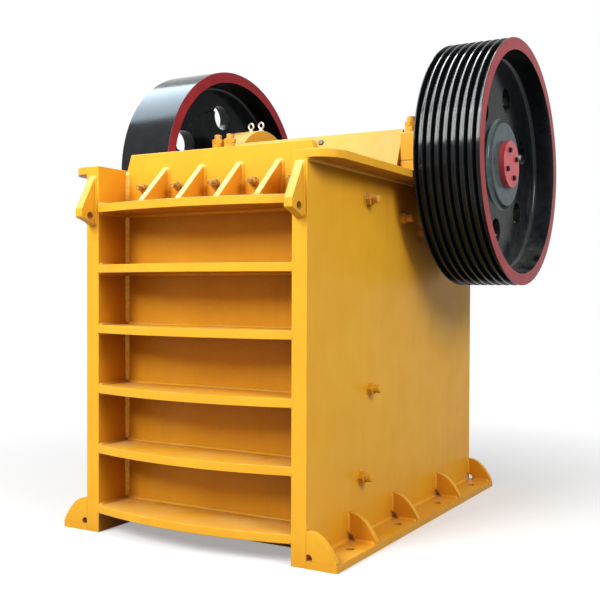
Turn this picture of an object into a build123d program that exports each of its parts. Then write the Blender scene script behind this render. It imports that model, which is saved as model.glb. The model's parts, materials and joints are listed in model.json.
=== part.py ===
"""Jaw crusher with a welded side-plate frame, a V-belt pulley and a plain flywheel.

All sizes are in millimetres. X runs across the machine with the belt pulley at +X,
Y runs from the ribbed front to the rear, and Z is up from the ground.
"""
import math
import os

from build123d import *

os.makedirs("parts", exist_ok=True)

# Frame: two side plates
FRAME_W = 1080.0
PLATE_T = 66.0
FRAME_H = 1524.0
HALF_W = FRAME_W / 2
INNER_X = HALF_W - PLATE_T
FIT = 0.3

# Ribbed front
WALL_Y = 169.0
WALL_T = 40.0
WALL_BACK = WALL_Y + WALL_T
WALL_RISE = 66.0
WALL_TRIM = 22.0
WALL_FOOT = 10.0
SHELF_COUNT = 6
SHELF_Z0 = 81.0
SHELF_T = 34.0
SHELF_BOW = 60.0
TOP_SHELF_DROP = 159.0
SHELF_TOP = FRAME_H - TOP_SHELF_DROP
SHELF_PITCH = (SHELF_TOP - SHELF_T - SHELF_Z0) / (SHELF_COUNT - 1)
JAW_BOLT_COUNT = 5
JAW_BOLT_SIDE = 96.0
JAW_BOLT_PITCH = 2 * (INNER_X - JAW_BOLT_SIDE) / (JAW_BOLT_COUNT - 1)
JAW_BOLT_Z = FRAME_H - 81.0
JAW_BOLT_R = 10.0
JAW_BOLT_PROUD = 44.0
JAW_NUT_R = 17.0
JAW_NUT_H = 16.0
GUSSET_T = 28.0
GUSSET_SHIFT = 0.625 * JAW_BOLT_PITCH
GUSSET_NOSE = 15.0
GUSSET_LIP = 10.0
GUSSET_H = 163.0

# Lifting lugs on the front edges of the side plates
LUG_T = 36.0
LUG_X = HALF_W - 15.0 - LUG_T / 2
LUG_REACH = 76.0
LUG_FOOT = FRAME_H - 234.0
LUG_TOP = FRAME_H - 38.0
LUG_CHIN = 18.0
LUG_NOSE = 52.0
LUG_NOSE_R = 9.0
LUG_HOLE_R = 16.0

# Crushing chamber, which sets the length of the frame
JAW_BOTTOM_Z = 240.0
JAW_TOP_Z = FRAME_H - 24.0
JAW_PLATE_T = 100.0
TOOTH_H = 28.0
TOOTH_PITCH = 72.0
CHEEK_T = 34.0
CHEEK_LOWER_H = 620.0
CHEEK_GAP = 6.0
CHEEK_BEHIND = 95.0
FIXED_FACE_Y = WALL_BACK + JAW_PLATE_T
GAPE = 591.0
DISCHARGE = 106.0
SWING_PLATE_T = 85.0
JAW_HALF_W = INNER_X - 50.0

# Shaft line and main bearings
SHAFT_Y = FIXED_FACE_Y + GAPE + 320.0
SHAFT_Z = FRAME_H + 80.0
FRAME_L = SHAFT_Y + 410.0
HOUSING_R = 262.0
HOUSING_W = 156.0
HOUSING_HALF_L = HOUSING_R + 53.0
CAP_LUG_H = 130.0
CAP_FILLET_R = 24.0
STUD_OFFSET = HOUSING_HALF_L - 44.0
STUD_X = (INNER_X + 36.0, INNER_X + 112.0)
STUD_R = 18.0
NUT_AF = 55.0
NUT_H = 30.0
STUD_PROUD = 15.0
END_RING_R = 176.0
END_RING_T = 14.0

# Cheek bolts: behind the fixed jaw's face, below the top of the side plate or above the ground
CHEEK_BOLTS_BELOW_TOP = ((156.0, 140.0), (484.0, 192.0), (666.0, 238.0))
CHEEK_BOLTS_ABOVE_GROUND = ((180.0, 611.0), (105.0, 260.0))
CHEEK_BOLT_R = 15.0
CHEEK_BOLT_PROUD = 54.0
CHEEK_NUT_R = 26.0
CHEEK_NUT_H = 24.0

# Flanges and feet
TOP_FLANGE_T = 32.0
TOP_FLANGE_W = 108.0
TOP_FLANGE_R = 100.0
BASE_T = 28.0
BASE_W = 130.0
ANCHOR_R = 18.0
ANCHOR_X = HALF_W + 66.0
ANCHOR_OUTER_Y = (210.0, FRAME_L - 150.0)
ANCHOR_INNER_Y = (624.0, FRAME_L - 583.0)
FOOT_T = 24.0
FOOT_Y = (0.0, 313.0, 703.0, FRAME_L - 452.0, FRAME_L - FOOT_T)
FOOT_H = 137.0
FOOT_LIP = 10.0
FOOT_SETBACK = 4.0
MOUSE_R = 15.0

# Guard plate over the swing jaw's barrel
GUARD_FOOT = (SHAFT_Y - 364.0, FRAME_H + 12.0)
GUARD_HEAD = (SHAFT_Y - 280.0, FRAME_H + 233.0)
GUARD_T = 17.0

# Rotor
JOURNAL_R = 110.0
SEAT_R = 95.0
ECCENTRIC_R = 125.0
ECCENTRICITY = 12.0
RIM_W = 298.0
RIM_IN_X = INNER_X + HOUSING_W + 24.0
RIM_OUT_X = RIM_IN_X + RIM_W
RIM_T = 54.0
RIM_DRAFT = 14.0
PULLEY_R = 563.0
GROOVE_COUNT = 8
GROOVE_PITCH = 37.0
GROOVE_TOP_W = 29.0
GROOVE_BOTTOM_W = 14.0
GROOVE_DEPTH = 24.0
FLYWHEEL_R = 583.0
HUB_R = 200.0
HUB_DRAFT = 8.0
HUB_BACK_DRAFT = 20.0
HUB_FACE_X = RIM_OUT_X - 80.0
HUB_BACK_X = RIM_IN_X + 36.0
WEB_FACE_X = HUB_FACE_X - 24.0
WEB_T = 58.0
WEB_FILLET_R = 22.0
PULLEY_HOLE_R = 57.0
PULLEY_HOLE_PCR = HUB_R + 118.0
FLY_WEB_X = RIM_IN_X + 116.0
FLY_STEP = 12.0
FLY_STEP_R = HUB_R + 187.0
FLY_HOLE_R = 67.0
FLY_HOLE_PCR = HUB_R + 158.0
WEB_HOLES = 6
COVER_R = 109.0
COVER_T = 27.0
COVER_HOLE_R = 9.0
COVER_HOLE_PCR = 68.0

# Swing jaw casting
BORE_R = ECCENTRIC_R + ECCENTRICITY + FIT
BARREL_R = BORE_R + 53.0
CASTING_SKIN = 60.0
JAW_RIB_T = 50.0
JAW_RIB_FOOT = 205.0
JAW_RIB_BACK = (SHAFT_Y - 90.0, SHAFT_Z - 300.0)
BARREL_HEEL = (SHAFT_Y + 130.0, SHAFT_Z - 110.0)
BARREL_BROW = (SHAFT_Y - 140.0, SHAFT_Z + 60.0)

# Toggle between the swing jaw and the rear wall
REAR_WALL_Y = FRAME_L - 230.0
REAR_WALL_T = 40.0
REAR_WALL_FOOT = JAW_BOTTOM_Z - 40.0
REAR_WALL_TOP = FRAME_H - 274.0
REAR_RIB_COUNT = 4
TOGGLE_BLOCK_T = 110.0
TOGGLE_BLOCK_H = 170.0
TOGGLE_SEAT_H = 150.0
TOGGLE_REAR = (REAR_WALL_Y - TOGGLE_BLOCK_T, JAW_BOTTOM_Z + 410.0)
TOGGLE_FRONT = (SHAFT_Y - 290.0, JAW_BOTTOM_Z + 320.0)
TOGGLE_END_R = 35.0
TOGGLE_T = 52.0
TOGGLE_HALF_W = INNER_X - 104.0
TOGGLE_PLAY = 14.0
TOGGLE_RIM = 30.0
SEAT_FRONT_Y = TOGGLE_FRONT[0] - 12.0
SEAT_BACK_Y = TOGGLE_FRONT[0] - 68.0
SEAT_PAD_T = 90.0
GUIDE_T = 32.0
GUIDE_L = 90.0

# Tension rods and their springs
ROD_X = JAW_HALF_W / 3 + 84.0
ROD_Z = JAW_BOTTOM_Z + 70.0
ROD_R = 21.0
ROD_EYE_R = 42.0
ROD_EYE_T = 44.0
ROD_PIN_R = 18.0
ROD_HOLE_R = 34.0
ROD_LUG_T = 28.0
ROD_PIN_PROUD = 6.0
ROD_TAIL = 100.0
ROD_EYE_REACH = 276.0
SPRING_R = 50.0
SPRING_WIRE_R = 9.0
SPRING_TURNS = 5
SPRING_PITCH = 26.0
WASHER_R = SPRING_R + 18.0
WASHER_T = 14.0
ROD_NUT_R = 36.0
ROD_NUT_H = 52.0
ROD_TRAVEL = 16.0

# Sketches are drawn on three datum planes whose y is measured from the front edges of
# the side plates. The part's origin is on the ground, halfway along its overall length.
FRONT_Y = -(SHAFT_Y + FLYWHEEL_R - LUG_REACH) / 2
GROUND = Plane(origin=(0, FRONT_Y, 0), x_dir=(1, 0, 0), z_dir=(0, 0, 1))
FRONT = Plane(origin=(0, FRONT_Y, 0), x_dir=(1, 0, 0), z_dir=(0, -1, 0))
SIDE = Plane(origin=(0, FRONT_Y, 0), x_dir=(0, 1, 0), z_dir=(1, 0, 0))
SHAFT_AXIS = Axis((0, FRONT_Y + SHAFT_Y, SHAFT_Z), (1, 0, 0))

# The swing jaw's working face leans back from the discharge to the feed
face_bottom = (FIXED_FACE_Y + DISCHARGE, JAW_BOTTOM_Z)
face_top = (FIXED_FACE_Y + GAPE, JAW_TOP_Z)
face_length = math.dist(face_bottom, face_top)
lean_y = (face_top[0] - face_bottom[0]) / face_length
lean_z = (face_top[1] - face_bottom[1]) / face_length
casting_bottom = (
    face_bottom[0] + SWING_PLATE_T * lean_z,
    face_bottom[1] - SWING_PLATE_T * lean_y,
)
casting_top = (
    face_top[0] + SWING_PLATE_T * lean_z,
    face_top[1] - SWING_PLATE_T * lean_y,
)
rod_eye = (casting_bottom[0] + ROD_EYE_REACH, ROD_Z)
jaw_plane = Plane(
    origin=(0, FRONT_Y + casting_bottom[0], casting_bottom[1]),
    x_dir=(1, 0, 0),
    z_dir=(0, lean_y, lean_z),
)


fixed_teeth = int(2 * (INNER_X - CHEEK_T - 2) / TOOTH_PITCH)


def teeth_points(half_width, back, root, crest, count):
    """Outline of a corrugated jaw plate: trapezoid teeth in front of a flat back."""
    points = [(-half_width, back), (-half_width, root)]
    flat = TOOTH_PITCH * 0.18
    slope = TOOTH_PITCH * 0.5 - flat
    for tooth in range(count):
        middle = (tooth - (count - 1) / 2) * TOOTH_PITCH
        points.append((middle - flat / 2 - slope, root))
        points.append((middle - flat / 2, crest))
        points.append((middle + flat / 2, crest))
        points.append((middle + flat / 2 + slope, root))
    points.append((half_width, root))
    points.append((half_width, back))
    return points


# Side plates, notched for the main bearings
with BuildPart() as side_plate_right:
    with BuildSketch(SIDE.offset(INNER_X)):
        with Locations((FRAME_L / 2, FRAME_H / 2)):
            Rectangle(FRAME_L, FRAME_H)
        with Locations((SHAFT_Y, SHAFT_Z)):
            Circle(HOUSING_R, mode=Mode.SUBTRACT)
    extrude(amount=PLATE_T)
side_plate_right.part.label = "side_plate_right"
export_step(side_plate_right.part, "parts/side_plate_right.step")

with BuildPart() as side_plate_left:
    mirror(side_plate_right.part, about=Plane.YZ)
side_plate_left.part.label = "side_plate_left"
export_step(side_plate_left.part, "parts/side_plate_left.step")

# Front wall between the side plates, with its top corners trimmed
with BuildPart() as front_wall:
    with BuildSketch(FRONT.offset(-WALL_Y)):
        with BuildLine():
            Polyline(
                (-INNER_X, WALL_FOOT),
                (INNER_X, WALL_FOOT),
                (INNER_X, FRAME_H),
                (INNER_X - WALL_TRIM, FRAME_H + WALL_RISE),
                (-INNER_X + WALL_TRIM, FRAME_H + WALL_RISE),
                (-INNER_X, FRAME_H),
                close=True,
            )
        make_face()
    extrude(amount=-WALL_T)
front_wall.part.label = "front_wall"
export_step(front_wall.part, "parts/front_wall.step")

# Six bowed shelves stiffen the front wall
for number in range(1, SHELF_COUNT + 1):
    with BuildPart() as front_shelf:
        with BuildSketch(GROUND.offset(SHELF_Z0 + (number - 1) * SHELF_PITCH)):
            with BuildLine():
                ThreePointArc((-INNER_X, 0), (0, -SHELF_BOW), (INNER_X, 0))
                Polyline((INNER_X, 0), (INNER_X, WALL_Y), (-INNER_X, WALL_Y), (-INNER_X, 0))
            make_face()
        extrude(amount=SHELF_T)
    front_shelf.part.label = f"front_shelf_{number}"
    export_step(front_shelf.part, f"parts/front_shelf_{number}.step")

# Four gussets between the top shelf and the front wall, each beside a jaw bolt
with BuildPart() as front_gussets:
    for step in range(JAW_BOLT_COUNT - 1):
        gusset_x = (step - 2) * JAW_BOLT_PITCH + GUSSET_SHIFT
        with BuildSketch(SIDE.offset(gusset_x - GUSSET_T / 2)):
            with BuildLine():
                Polyline(
                    (WALL_Y, SHELF_TOP),
                    (GUSSET_NOSE, SHELF_TOP),
                    (GUSSET_NOSE, SHELF_TOP + GUSSET_LIP),
                    (WALL_Y, SHELF_TOP + GUSSET_H),
                    close=True,
                )
            make_face()
        extrude(amount=GUSSET_T)
front_gussets.part.label = "front_gussets"
export_step(front_gussets.part, "parts/front_gussets.step")

# Lifting lugs welded to the front edges of the side plates
with BuildPart() as lifting_lugs:
    for side in (-1, 1):
        with BuildSketch(SIDE.offset(side * LUG_X - LUG_T / 2)) as lug_outline:
            with BuildLine():
                Polyline(
                    (0, LUG_FOOT - 14),
                    (-LUG_REACH * 0.35, LUG_FOOT),
                    (-LUG_REACH, LUG_FOOT + LUG_CHIN),
                    (-LUG_REACH, LUG_FOOT + LUG_NOSE),
                    (0, LUG_TOP),
                    close=True,
                )
            make_face()
            fillet(lug_outline.vertices().sort_by(Axis.X)[:2], LUG_NOSE_R)
            with Locations((-LUG_REACH * 0.4, LUG_FOOT + 26)):
                Circle(LUG_HOLE_R, mode=Mode.SUBTRACT)
        extrude(amount=LUG_T)
lifting_lugs.part.label = "lifting_lugs"
export_step(lifting_lugs.part, "parts/lifting_lugs.step")

# Top flanges, rounded at the front corner and cut away for the bearings' feet
with BuildPart() as top_flange_right:
    with BuildSketch(GROUND.offset(FRAME_H - TOP_FLANGE_T)):
        with BuildLine():
            outer = HALF_W + TOP_FLANGE_W
            Polyline(
                (HALF_W, 0),
                (outer - TOP_FLANGE_R, 0),
            )
            RadiusArc(
                (outer - TOP_FLANGE_R, 0),
                (outer, TOP_FLANGE_R),
                -TOP_FLANGE_R,
            )
            Polyline(
                (outer, TOP_FLANGE_R),
                (outer, FRAME_L),
                (HALF_W, FRAME_L),
                (HALF_W, 0),
            )
        make_face()
        with Locations((HALF_W + TOP_FLANGE_W / 2, SHAFT_Y)):
            Rectangle(TOP_FLANGE_W, 2 * HOUSING_HALF_L, mode=Mode.SUBTRACT)
    extrude(amount=TOP_FLANGE_T)
top_flange_right.part.label = "top_flange_right"
export_step(top_flange_right.part, "parts/top_flange_right.step")

with BuildPart() as top_flange_left:
    mirror(top_flange_right.part, about=Plane.YZ)
top_flange_left.part.label = "top_flange_left"
export_step(top_flange_left.part, "parts/top_flange_left.step")

# Base flanges with the anchor holes
with BuildPart() as base_flange_right:
    with BuildSketch(GROUND):
        with Locations((HALF_W + BASE_W / 2, FRAME_L / 2)):
            Rectangle(BASE_W, FRAME_L)
        with Locations(*[(ANCHOR_X, y) for y in ANCHOR_OUTER_Y + ANCHOR_INNER_Y]):
            Circle(ANCHOR_R, mode=Mode.SUBTRACT)
    extrude(amount=BASE_T)
base_flange_right.part.label = "base_flange_right"
export_step(base_flange_right.part, "parts/base_flange_right.step")

with BuildPart() as base_flange_left:
    mirror(base_flange_right.part, about=Plane.YZ)
base_flange_left.part.label = "base_flange_left"
export_step(base_flange_left.part, "parts/base_flange_left.step")

# Foot gussets with a mouse hole in the weld corner
with BuildPart() as foot_gussets_right:
    for foot_y in FOOT_Y:
        with BuildSketch(FRONT.offset(-foot_y)):
            with BuildLine():
                Polyline(
                    (HALF_W, FOOT_H),
                    (HALF_W, BASE_T),
                    (HALF_W + BASE_W - FOOT_SETBACK, BASE_T),
                    (HALF_W + BASE_W - FOOT_SETBACK, BASE_T + FOOT_LIP),
                )
                Bezier(
                    (HALF_W + BASE_W - FOOT_SETBACK, BASE_T + FOOT_LIP),
                    (HALF_W + BASE_W * 0.72, FOOT_H * 0.7),
                    (HALF_W + BASE_W * 0.45, FOOT_H * 0.98),
                    (HALF_W + 12, FOOT_H),
                )
                Line((HALF_W + 12, FOOT_H), (HALF_W, FOOT_H))
            make_face()
            with Locations((HALF_W + MOUSE_R * 0.7, BASE_T + MOUSE_R * 0.7)):
                Circle(MOUSE_R, mode=Mode.SUBTRACT)
        extrude(amount=-FOOT_T)
foot_gussets_right.part.label = "foot_gussets_right"
export_step(foot_gussets_right.part, "parts/foot_gussets_right.step")

with BuildPart() as foot_gussets_left:
    mirror(foot_gussets_right.part, about=Plane.YZ)
foot_gussets_left.part.label = "foot_gussets_left"
export_step(foot_gussets_left.part, "parts/foot_gussets_left.step")

# Rear wall that takes the toggle's thrust, pierced for the tension rods
with BuildPart() as rear_wall:
    with BuildSketch(FRONT.offset(-REAR_WALL_Y)):
        with Locations((0, (REAR_WALL_FOOT + REAR_WALL_TOP) / 2)):
            Rectangle(2 * INNER_X, REAR_WALL_TOP - REAR_WALL_FOOT)
        with Locations((-ROD_X, ROD_Z), (ROD_X, ROD_Z)):
            Circle(ROD_HOLE_R, mode=Mode.SUBTRACT)
    extrude(amount=-REAR_WALL_T)
rear_wall.part.label = "rear_wall"
export_step(rear_wall.part, "parts/rear_wall.step")

with BuildPart() as rear_ribs:
    rib_y = REAR_WALL_Y + REAR_WALL_T
    rib_pitch = (REAR_WALL_TOP - SHELF_T - REAR_WALL_FOOT) / (REAR_RIB_COUNT - 1)
    for number in range(REAR_RIB_COUNT):
        with BuildSketch(GROUND.offset(REAR_WALL_FOOT + number * rib_pitch)):
            with Locations((0, (rib_y + FRAME_L) / 2)):
                Rectangle(2 * INNER_X, FRAME_L - rib_y)
        extrude(amount=SHELF_T)
rear_ribs.part.label = "rear_ribs"
export_step(rear_ribs.part, "parts/rear_ribs.step")

# Toggle block between guide bars, with a round seat for the toggle plate
with BuildPart() as toggle_block:
    with BuildSketch(SIDE.offset(-TOGGLE_HALF_W - TOGGLE_RIM)):
        with Locations(((TOGGLE_REAR[0] + REAR_WALL_Y) / 2, TOGGLE_REAR[1])):
            Rectangle(TOGGLE_BLOCK_T, TOGGLE_BLOCK_H)
        with Locations(TOGGLE_REAR):
            Circle(TOGGLE_END_R + FIT, mode=Mode.SUBTRACT)
    extrude(amount=2 * (TOGGLE_HALF_W + TOGGLE_RIM))
toggle_block.part.label = "toggle_block"
export_step(toggle_block.part, "parts/toggle_block.step")

with BuildPart() as toggle_guides:
    for side in (-1, 1):
        guide_z = TOGGLE_REAR[1] + side * (TOGGLE_BLOCK_H + GUIDE_T) / 2
        with BuildSketch(SIDE.offset(-INNER_X)):
            with Locations((REAR_WALL_Y - GUIDE_L / 2, guide_z)):
                Rectangle(GUIDE_L, GUIDE_T)
        extrude(amount=2 * INNER_X)
toggle_guides.part.label = "toggle_guides"
export_step(toggle_guides.part, "parts/toggle_guides.step")

# Cheek plates line the side plates in two lengths
with BuildPart() as cheek_plates_right:
    with BuildSketch(SIDE.offset(INNER_X - CHEEK_T)):
        with BuildLine():
            Polyline(
                (WALL_BACK, JAW_BOTTOM_Z),
                (face_bottom[0] + CHEEK_BEHIND, JAW_BOTTOM_Z),
                (face_top[0] + CHEEK_BEHIND, JAW_TOP_Z),
                (WALL_BACK, JAW_TOP_Z),
                close=True,
            )
        make_face()
        with Locations((FIXED_FACE_Y + GAPE / 2, JAW_BOTTOM_Z + CHEEK_LOWER_H)):
            Rectangle(3 * GAPE, CHEEK_GAP, mode=Mode.SUBTRACT)
    extrude(amount=CHEEK_T)
cheek_plates_right.part.label = "cheek_plates_right"
export_step(cheek_plates_right.part, "parts/cheek_plates_right.step")

with BuildPart() as cheek_plates_left:
    mirror(cheek_plates_right.part, about=Plane.YZ)
cheek_plates_left.part.label = "cheek_plates_left"
export_step(cheek_plates_left.part, "parts/cheek_plates_left.step")

# Stud ends and nuts of the cheek bolts on the outside of the side plates
with BuildPart() as cheek_bolts_right:
    bolt_points = [(FIXED_FACE_Y + y, FRAME_H - below) for y, below in CHEEK_BOLTS_BELOW_TOP]
    bolt_points += [(FIXED_FACE_Y + y, above) for y, above in CHEEK_BOLTS_ABOVE_GROUND]
    with BuildSketch(SIDE.offset(HALF_W)):
        with Locations(*bolt_points):
            RegularPolygon(CHEEK_NUT_R, 6)
    extrude(amount=CHEEK_NUT_H)
    with BuildSketch(SIDE.offset(HALF_W)):
        with Locations(*bolt_points):
            Circle(CHEEK_BOLT_R)
    extrude(amount=CHEEK_BOLT_PROUD)
cheek_bolts_right.part.label = "cheek_bolts_right"
export_step(cheek_bolts_right.part, "parts/cheek_bolts_right.step")

with BuildPart() as cheek_bolts_left:
    mirror(cheek_bolts_right.part, about=Plane.YZ)
cheek_bolts_left.part.label = "cheek_bolts_left"
export_step(cheek_bolts_left.part, "parts/cheek_bolts_left.step")

# Toothed fixed jaw plate against the front wall
with BuildPart() as fixed_jaw_plate:
    with BuildSketch(GROUND.offset(JAW_BOTTOM_Z)):
        with BuildLine():
            Polyline(
                *teeth_points(
                    INNER_X - CHEEK_T - 2,
                    WALL_BACK,
                    FIXED_FACE_Y - TOOTH_H,
                    FIXED_FACE_Y,
                    fixed_teeth,
                ),
                close=True,
            )
        make_face()
    extrude(amount=JAW_TOP_Z - JAW_BOTTOM_Z)
fixed_jaw_plate.part.label = "fixed_jaw_plate"
export_step(fixed_jaw_plate.part, "parts/fixed_jaw_plate.step")

# Nuts of the fixed jaw's bolts on the front wall
with BuildPart() as jaw_bolts:
    with BuildSketch(FRONT.offset(-WALL_Y)):
        with GridLocations(JAW_BOLT_PITCH, 1, JAW_BOLT_COUNT, 1):
            with Locations((0, JAW_BOLT_Z)):
                RegularPolygon(JAW_NUT_R, 6)
    extrude(amount=JAW_NUT_H)
    with BuildSketch(FRONT.offset(-WALL_Y)):
        with GridLocations(JAW_BOLT_PITCH, 1, JAW_BOLT_COUNT, 1):
            with Locations((0, JAW_BOLT_Z)):
                Circle(JAW_BOLT_R)
    extrude(amount=JAW_BOLT_PROUD)
jaw_bolts.part.label = "jaw_bolts"
export_step(jaw_bolts.part, "parts/jaw_bolts.step")

# Main bearing housings: a saddle in the side plate's notch with its feet let into the
# top flange, and a domed cap
with BuildPart() as bearing_base_right:
    with BuildSketch(SIDE.offset(INNER_X)):
        with Locations((SHAFT_Y, SHAFT_Z)):
            Circle(HOUSING_R)
        with Locations((SHAFT_Y, SHAFT_Z + HOUSING_R)):
            Rectangle(2 * HOUSING_R, 2 * HOUSING_R, mode=Mode.SUBTRACT)
        with Locations((SHAFT_Y, (FRAME_H + SHAFT_Z) / 2)):
            Rectangle(2 * HOUSING_HALF_L, SHAFT_Z - FRAME_H)
    extrude(amount=HOUSING_W)
    with BuildSketch(SIDE.offset(HALF_W)):
        with Locations((SHAFT_Y, FRAME_H - TOP_FLANGE_T / 2)):
            Rectangle(2 * HOUSING_HALF_L, TOP_FLANGE_T)
    extrude(amount=HOUSING_W - PLATE_T)
    with BuildSketch(SIDE.offset(INNER_X)):
        with Locations((SHAFT_Y, SHAFT_Z)):
            Circle(JOURNAL_R + FIT)
    extrude(amount=HOUSING_W, mode=Mode.SUBTRACT)
bearing_base_right.part.label = "bearing_base_right"
export_step(bearing_base_right.part, "parts/bearing_base_right.step")

with BuildPart() as bearing_base_left:
    mirror(bearing_base_right.part, about=Plane.YZ)
bearing_base_left.part.label = "bearing_base_left"
export_step(bearing_base_left.part, "parts/bearing_base_left.step")

with BuildPart() as bearing_cap_right:
    with BuildSketch(SIDE.offset(INNER_X)) as cap_outline:
        with Locations((SHAFT_Y, SHAFT_Z)):
            Circle(HOUSING_R)
        with Locations((SHAFT_Y, SHAFT_Z - HOUSING_R)):
            Rectangle(2 * HOUSING_R, 2 * HOUSING_R, mode=Mode.SUBTRACT)
        with Locations((SHAFT_Y, SHAFT_Z + CAP_LUG_H / 2)):
            Rectangle(2 * HOUSING_HALF_L, CAP_LUG_H)
        dome_corners = cap_outline.vertices().filter_by_position(
            Axis.X, SHAFT_Y - HOUSING_R, SHAFT_Y + HOUSING_R
        )
        fillet(dome_corners, CAP_FILLET_R)
        with Locations((SHAFT_Y, SHAFT_Z)):
            Circle(JOURNAL_R + FIT, mode=Mode.SUBTRACT)
    extrude(amount=HOUSING_W)
    with BuildSketch(SIDE.offset(INNER_X + HOUSING_W)):
        with Locations((SHAFT_Y, SHAFT_Z)):
            Circle(END_RING_R)
            Circle(JOURNAL_R + FIT, mode=Mode.SUBTRACT)
        with Locations((SHAFT_Y, SHAFT_Z - HOUSING_R)):
            Rectangle(2 * HOUSING_R, 2 * HOUSING_R, mode=Mode.SUBTRACT)
    extrude(amount=END_RING_T)
bearing_cap_right.part.label = "bearing_cap_right"
export_step(bearing_cap_right.part, "parts/bearing_cap_right.step")

with BuildPart() as bearing_cap_left:
    mirror(bearing_cap_right.part, about=Plane.YZ)
bearing_cap_left.part.label = "bearing_cap_left"
export_step(bearing_cap_left.part, "parts/bearing_cap_left.step")

with BuildPart() as cap_studs_right:
    stud_points = [(x, SHAFT_Y + side * STUD_OFFSET) for x in STUD_X for side in (-1, 1)]
    with BuildSketch(GROUND.offset(SHAFT_Z + CAP_LUG_H)):
        with Locations(*stud_points):
            RegularPolygon(NUT_AF / math.sqrt(3), 6)
    extrude(amount=NUT_H)
    with BuildSketch(GROUND.offset(SHAFT_Z + CAP_LUG_H + NUT_H)):
        with Locations(*stud_points):
            Circle(STUD_R)
    extrude(amount=STUD_PROUD)
cap_studs_right.part.label = "cap_studs_right"
export_step(cap_studs_right.part, "parts/cap_studs_right.step")

with BuildPart() as cap_studs_left:
    mirror(cap_studs_right.part, about=Plane.YZ)
cap_studs_left.part.label = "cap_studs_left"
export_step(cap_studs_left.part, "parts/cap_studs_left.step")

# Guard plate over the swing jaw's barrel, held between the bearing housings
with BuildPart() as guard_plate:
    guard_length = math.dist(GUARD_FOOT, GUARD_HEAD)
    guard_slope = math.degrees(
        math.atan2(GUARD_HEAD[1] - GUARD_FOOT[1], GUARD_HEAD[0] - GUARD_FOOT[0])
    )
    with BuildSketch(SIDE.offset(-INNER_X)):
        with Locations(Location((GUARD_FOOT[0], GUARD_FOOT[1], 0), (0, 0, guard_slope))):
            Rectangle(guard_length, GUARD_T, align=(Align.MIN, Align.MAX))
    extrude(amount=2 * INNER_X)
guard_plate.part.label = "guard_plate"
export_step(guard_plate.part, "parts/guard_plate.step")

# Eccentric shaft: bearing journals, wheel seats and the offset middle in the swing jaw
with BuildPart() as eccentric_shaft:
    with BuildSketch(SIDE.offset(-JAW_HALF_W)):
        with Locations((SHAFT_Y, SHAFT_Z - ECCENTRICITY)):
            Circle(ECCENTRIC_R)
    extrude(amount=2 * JAW_HALF_W)
    with BuildSketch(SIDE.offset(-RIM_IN_X)):
        with Locations((SHAFT_Y, SHAFT_Z)):
            Circle(JOURNAL_R)
    extrude(amount=2 * RIM_IN_X)
    with BuildSketch(SIDE.offset(-HUB_FACE_X)):
        with Locations((SHAFT_Y, SHAFT_Z)):
            Circle(SEAT_R)
    extrude(amount=2 * HUB_FACE_X)
eccentric_shaft.part.label = "eccentric_shaft"
export_step(eccentric_shaft.part, "parts/eccentric_shaft.step")

# Belt pulley: V grooves turned in the rim, a flat web with six holes and a thick hub
with BuildPart() as belt_pulley:
    with BuildSketch(GROUND.offset(SHAFT_Z)) as pulley_section:
        with BuildLine():
            rim = [(RIM_IN_X, PULLEY_R - RIM_T), (RIM_IN_X, PULLEY_R)]
            first = (RIM_IN_X + RIM_OUT_X) / 2 - GROOVE_PITCH * (GROOVE_COUNT - 1) / 2
            for groove in range(GROOVE_COUNT):
                centre = first + groove * GROOVE_PITCH
                rim.append((centre - GROOVE_TOP_W / 2, PULLEY_R))
                rim.append((centre - GROOVE_BOTTOM_W / 2, PULLEY_R - GROOVE_DEPTH))
                rim.append((centre + GROOVE_BOTTOM_W / 2, PULLEY_R - GROOVE_DEPTH))
                rim.append((centre + GROOVE_TOP_W / 2, PULLEY_R))
            rim += [
                (RIM_OUT_X, PULLEY_R),
                (RIM_OUT_X, PULLEY_R - RIM_T),
                (WEB_FACE_X, PULLEY_R - RIM_T - RIM_DRAFT),
                (WEB_FACE_X, HUB_R),
                (HUB_FACE_X, HUB_R - HUB_DRAFT),
                (HUB_FACE_X, SEAT_R),
                (HUB_BACK_X, SEAT_R),
                (HUB_BACK_X, HUB_R - HUB_BACK_DRAFT),
                (WEB_FACE_X - WEB_T, HUB_R),
                (WEB_FACE_X - WEB_T, PULLEY_R - RIM_T - RIM_DRAFT),
            ]
            Polyline(*[(x, SHAFT_Y + r) for x, r in rim], close=True)
        make_face()
        web_corners = pulley_section.vertices().filter_by(
            lambda corner: abs(corner.X - (WEB_FACE_X - WEB_T / 2)) < WEB_T / 2 + 1
            and corner.Y < SHAFT_Y + PULLEY_R - RIM_T - 1
        )
        fillet(web_corners, WEB_FILLET_R)
    revolve(axis=SHAFT_AXIS, revolution_arc=360)
    with BuildSketch(SIDE.offset(WEB_FACE_X - WEB_T)):
        with Locations((SHAFT_Y, SHAFT_Z)):
            with PolarLocations(PULLEY_HOLE_PCR, WEB_HOLES, start_angle=18):
                Circle(PULLEY_HOLE_R)
    extrude(amount=WEB_T, mode=Mode.SUBTRACT)
belt_pulley.part.label = "belt_pulley"
export_step(belt_pulley.part, "parts/belt_pulley.step")

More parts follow.
